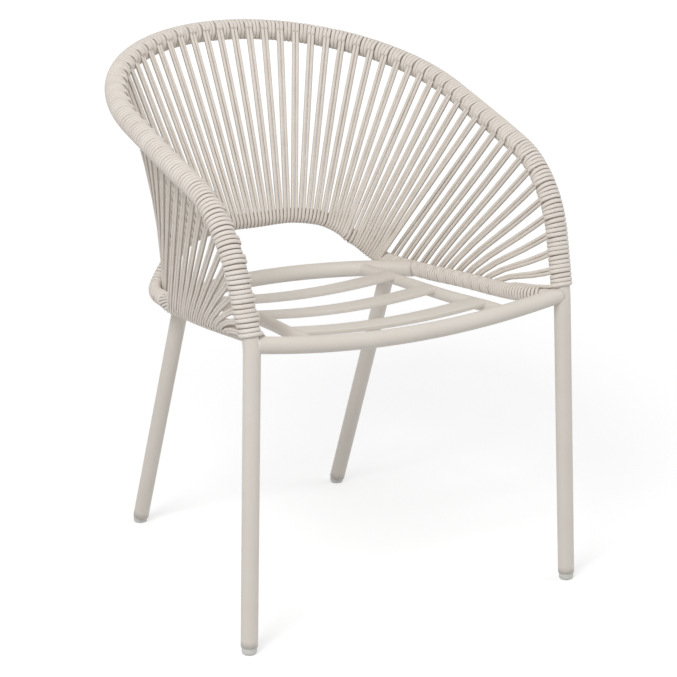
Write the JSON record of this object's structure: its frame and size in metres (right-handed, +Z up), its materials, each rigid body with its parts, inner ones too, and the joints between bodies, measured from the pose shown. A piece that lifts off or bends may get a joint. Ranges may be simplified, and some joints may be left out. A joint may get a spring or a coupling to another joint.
{
  "type": "corded tub armchair",
  "caption": "Dining armchair with a bent tube hoop for arms and back, cord laced from the hoop to a lower rail with an arched back, and slats across the seat frame.",
  "frame": {"origin": "on the floor, under the middle of the chair's overall box", "axes": "+Z up, -Y the way the sitter faces, +X to the right of someone who stands in front of the chair and looks at it"},
  "size_m": [0.5164, 0.5664, 0.7016],
  "materials": {
    "frame": "satin powder coat",
    "cord": "matt braided cord",
    "glides": "matt"
  },
  "bodies": {
    "root": {"hoop_tube": "frame", "front_rail": "frame", "rear_rail": "frame", "lacing_rail": "frame", "rear_leg_left": "frame", "rear_leg_right": "frame", "inner_rail_left": "frame", "inner_rail_right": "frame", "seat_slat_front": "frame", "seat_slat_middle": "frame", "seat_slat_rear": "frame", "foot_glide_front_left": "glides", "foot_glide_front_right": "glides", "foot_glide_rear_left": "glides", "foot_glide_rear_right": "glides", "hoop_winding": "cord", "lacing_side_front_left": "cord", "lacing_side_rear_left": "cord", "lacing_back_outer_left": "cord", "lacing_back_inner_left": "cord", "lacing_back_centre": "cord", "lacing_back_inner_right": "cord", "lacing_back_outer_right": "cord", "lacing_side_rear_right": "cord", "lacing_side_front_right": "cord"}
  },
  "joints": []
}
